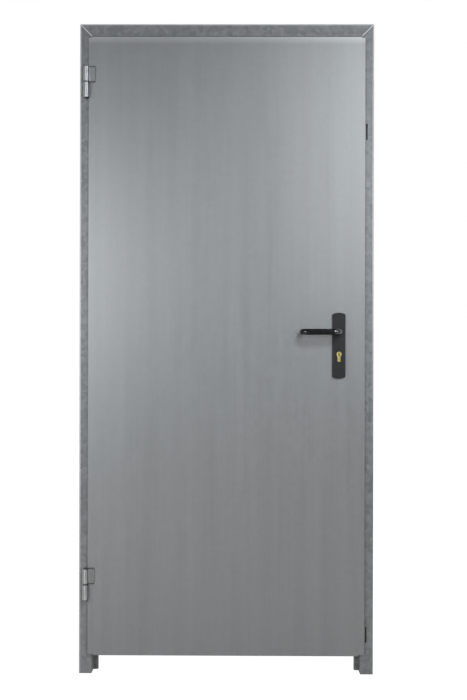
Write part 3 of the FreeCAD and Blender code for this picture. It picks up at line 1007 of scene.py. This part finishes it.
@dataclass
class HandleSet:
    """Long plates and levers, and the screws of the back plate."""

    plates: tuple[str, ...] = ("front_handle_plate", "back_handle_plate")
    levers: tuple[str, ...] = ("front_lever", "back_lever")
    bend: float = 0.030
    screw_inset: float = 0.017

    def dress(self) -> None:
        """Gives plates and levers their plastic."""
        dress(self.plates, MouldedPlastic("plate_plastic").build())
        low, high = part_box(self.levers[0])
        handled = HandledPlastic(
            "lever_plastic",
            dark=(0.002, 0.002, 0.0021),
            light=(0.005, 0.0051, 0.0053),
            roughness=0.3,
            specular=0.10,
            coat=0.06,
            neck=high.x - self.bend,
            tip=low.x + self.bend,
        )
        dress(self.levers, handled.build())

    def build(self) -> None:
        """Drives the back plate's screws."""
        steel = BareMetal(
            "screw_steel",
            dark=(0.4, 0.4, 0.4),
            light=(0.58, 0.58, 0.58),
            roughness=0.3,
        )
        low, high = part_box("back_handle_plate")
        middle = (low.x + high.x) / 2
        levels = (low.z + self.screw_inset, high.z - self.screw_inset)
        spots = [(middle, high.y, level) for level in levels]
        Screws("back_plate_screws", "leaf", spots, Facing.BACK, steel.build()).build()


@dataclass(frozen=True)
class SoftBox:
    """A square studio lamp."""

    name: str
    place: Point
    aim: Point
    width: float
    power: float
    spread: float = math.pi
    colour: Colour = (0.905, 0.964, 1.0)

    def hang(self) -> None:
        """Adds the lamp, turned to its aim."""
        data = bpy.data.lights.new(self.name, "AREA")
        data.size = self.width
        data.energy = self.power
        data.spread = self.spread
        data.color = self.colour
        lamp = bpy.data.objects.new(self.name, data)
        lamp.location = self.place
        sight = Vector(self.aim) - Vector(self.place)
        lamp.rotation_euler = sight.to_track_quat("-Z", "Y").to_euler()
        bpy.context.scene.collection.objects.link(lamp)


@dataclass
class Studio:
    """Floor, light and camera.

    The floor counts as behind the door from behind_start metres on and the room from the door's own
    plane, both rising by behind_rise. The room's strength is room_front, with room_behind added
    behind the door. The camera sees the floor's glow by the share floor_seen.
    """

    eye: Point = (0.529, -3.30, 1.077)
    focal: float = 52.33
    sensor: float = 36.0
    shift: tuple[float, float] = (-0.0057, -0.0139)
    roll: float = math.radians(0.13)
    turn: float = math.radians(0.42)
    lamps: tuple[SoftBox, ...] = (
        SoftBox("key_box", (1.6, -2.4, 2.85), (0.55, 0.0, 0.75), 0.8, 5.8, math.radians(60)),
        SoftBox("left_panel", (-1.5, -2.4, 1.4), (0.4, 0.0, 1.3), 1.6, 37.0),
        SoftBox("left_box", (-0.7, -2.7, 1.55), (0.35, 0.0, 1.3), 1.0, 11.5),
        SoftBox("right_panel", (2.5, -2.2, 1.8), (0.6, 0.0, 1.5), 1.6, 18.0),
        SoftBox("right_box", (1.55, -2.6, 1.75), (0.7, 0.0, 1.3), 0.9, 9.2),
    )
    behind_rise: float = 4.0
    behind_start: float = 0.1
    room_colour: Colour = (1.0, 0.99, 0.98)
    room_front: float = 0.11
    room_behind: float = 0.6
    floor_colour: Colour = (0.74, 0.70, 0.665)
    floor_glow: float = 1.19
    floor_seen: float = 0.85
    floor_low: tuple[float, float] = (-15.0, -15.0)
    floor_high: tuple[float, float] = (16.0, 15.0)

    def light(self) -> None:
        """Hangs the soft boxes and sets the room's light."""
        for lamp in self.lamps:
            lamp.hang()
        world = bpy.data.worlds.new("room")
        shader = Shader(world)
        ray = shader.node("ShaderNodeTexCoord")
        apart = shader.node("ShaderNodeSeparateXYZ", None, {0: ray.outputs["Generated"]})
        behind = (Sock(shader, apart.outputs["Y"]) * self.behind_rise).clamp()
        strength = behind * self.room_behind + self.room_front
        values = {"Color": opaque(self.room_colour), "Strength": strength}
        room = shader.node("ShaderNodeBackground", None, values)
        values = {"Color": opaque(WHITE), "Strength": 1.0}
        white = shader.node("ShaderNodeBackground", None, values)
        shader.show("ShaderNodeOutputWorld", shader.backdrop(behind), room, white)
        bpy.context.scene.world = world

    def floor(self) -> None:
        """Lays a pale floor that is white to the camera but keeps the shadow."""
        shader = Shader(bpy.data.materials.new("studio_floor"))
        _, depth, _ = shader.axes()
        start = self.behind_rise * self.behind_start
        behind = (depth * self.behind_rise - start).clamp()
        matt = shader.node("ShaderNodeBsdfDiffuse", None, {"Color": opaque(self.floor_colour)})
        values = {"Color": opaque(WHITE), "Strength": self.floor_glow}
        white = shader.node("ShaderNodeEmission", None, values)
        factor = shader.backdrop(behind) * self.floor_seen
        shader.show("ShaderNodeOutputMaterial", factor, matt, white)
        (left, front), (right, back) = self.floor_low, self.floor_high
        corners = [(left, front, 0.0), (right, front, 0.0), (right, back, 0.0), (left, back, 0.0)]
        mesh = bpy.data.meshes.new("floor")
        mesh.from_pydata(corners, [], [(0, 1, 2, 3)])
        mesh.materials.append(shader.owner)
        floor = bpy.data.objects.new("floor", mesh)
        bpy.context.scene.collection.objects.link(floor)

    def camera(self) -> None:
        """Stands the camera square to the leaf, but for a slight turn and roll."""
        data = bpy.data.cameras.new("camera")
        data.sensor_fit = "VERTICAL"
        data.sensor_height = self.sensor
        data.lens = self.focal
        data.shift_x, data.shift_y = self.shift
        camera = bpy.data.objects.new("camera", data)
        square = Matrix.Rotation(self.turn, 4, "Z") @ Matrix.Rotation(math.pi / 2, 4, "X")
        square = square @ Matrix.Rotation(self.roll, 4, "Z")
        camera.matrix_world = Matrix.Translation(self.eye) @ square
        bpy.context.scene.collection.objects.link(camera)
        bpy.context.scene.camera = camera


def main() -> None:
    """Builds and dresses the door in order, then lights it."""
    logging.basicConfig(level=logging.INFO, format="%(name)s: %(message)s")
    door_frame = DoorFrame()
    door_frame.dress()
    door_frame.build()
    DoorLeaf().dress()
    Hinges().dress()
    lock = LockSet()
    lock.build(lock.dress())
    handles = HandleSet()
    handles.dress()
    handles.build()
    studio = Studio()
    studio.floor()
    studio.light()
    studio.camera()
    bpy.context.scene.view_settings.view_transform = "Standard"


if __name__ == "__main__":
    main()
